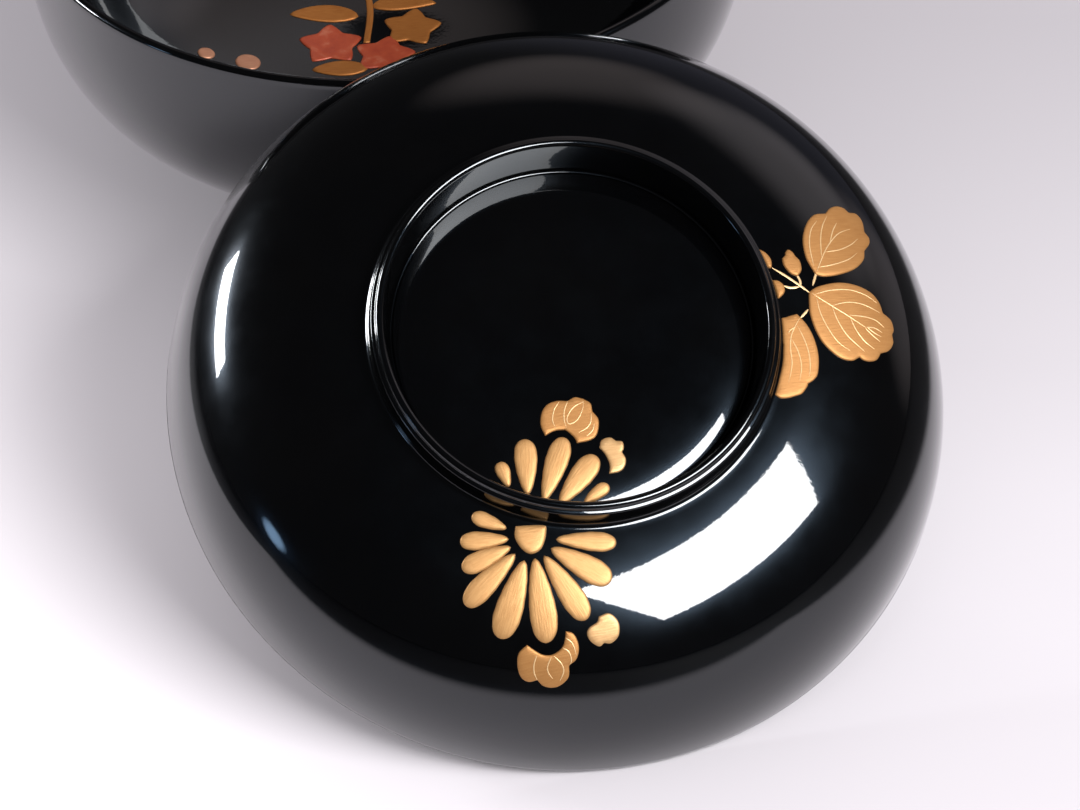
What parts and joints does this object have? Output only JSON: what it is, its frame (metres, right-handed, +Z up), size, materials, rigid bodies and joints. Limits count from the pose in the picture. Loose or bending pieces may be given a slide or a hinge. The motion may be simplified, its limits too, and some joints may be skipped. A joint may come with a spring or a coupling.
{
  "type": "lidded lacquer soup bowl",
  "caption": "Round black lacquered soup bowl on a foot ring, with a domed lid that has a ring grip and raised gold flowers and leaves; the lid leans on the bowl's rim.",
  "frame": {"origin": "middle of the arrangement's footprint, on the surface it stands on", "axes": "+Z up; +Y from the leaning lid at the front towards the bowl behind it; +X to the right of someone who faces the lid"},
  "size_m": [0.1478, 0.2272, 0.0709],
  "materials": {
    "turned_wood": "turned hardwood core, sealed under the lacquer",
    "black_lacquer": "deep black natural lacquer, polished to a mirror gloss",
    "petal_gold": "raised gold powder, satin, slightly brushed along each petal",
    "leaf_gold": "raised gold powder, satin, warmer orange, with fine pale veins",
    "red_maki_e": "red lacquer dusted with gold powder, satin",
    "pale_gold": "pale pinkish gold powder, satin"
  },
  "bodies": {
    "bowl": {"bowl_wood_core": "turned_wood", "bowl_outer_lacquer": "black_lacquer", "bowl_inner_lacquer": "black_lacquer", "bowl_rim": "black_lacquer", "bowl_foot_rim": "black_lacquer", "bowl_base_lacquer": "black_lacquer", "bowl_branch": "leaf_gold", "bowl_gold_leaves": "leaf_gold", "bowl_red_leaves": "red_maki_e", "bowl_gold_drops": "pale_gold"},
    "lid": {"lid_wood_core": "turned_wood", "lid_outer_lacquer": "black_lacquer", "lid_inner_lacquer": "black_lacquer", "lid_rim": "black_lacquer", "lid_grip_lacquer": "black_lacquer", "flower_disc": "petal_gold", "flower_outer_petals": "petal_gold", "flower_inner_petals": "petal_gold", "recess_leaf": "leaf_gold", "recess_bud_leaf": "leaf_gold", "lower_leaf": "leaf_gold", "lower_bud_leaf": "leaf_gold", "spray_top_leaf": "leaf_gold", "spray_middle_leaf": "leaf_gold", "spray_lower_leaf": "leaf_gold", "spray_buds": "leaf_gold", "spray_stems": "leaf_gold"}
  },
  "joints": [
    {"name": "lid_lift", "type": "slide", "parent": "bowl", "child": "lid", "axis": [0, 0, 1], "range_m": [0, 0.12]}
  ]
}
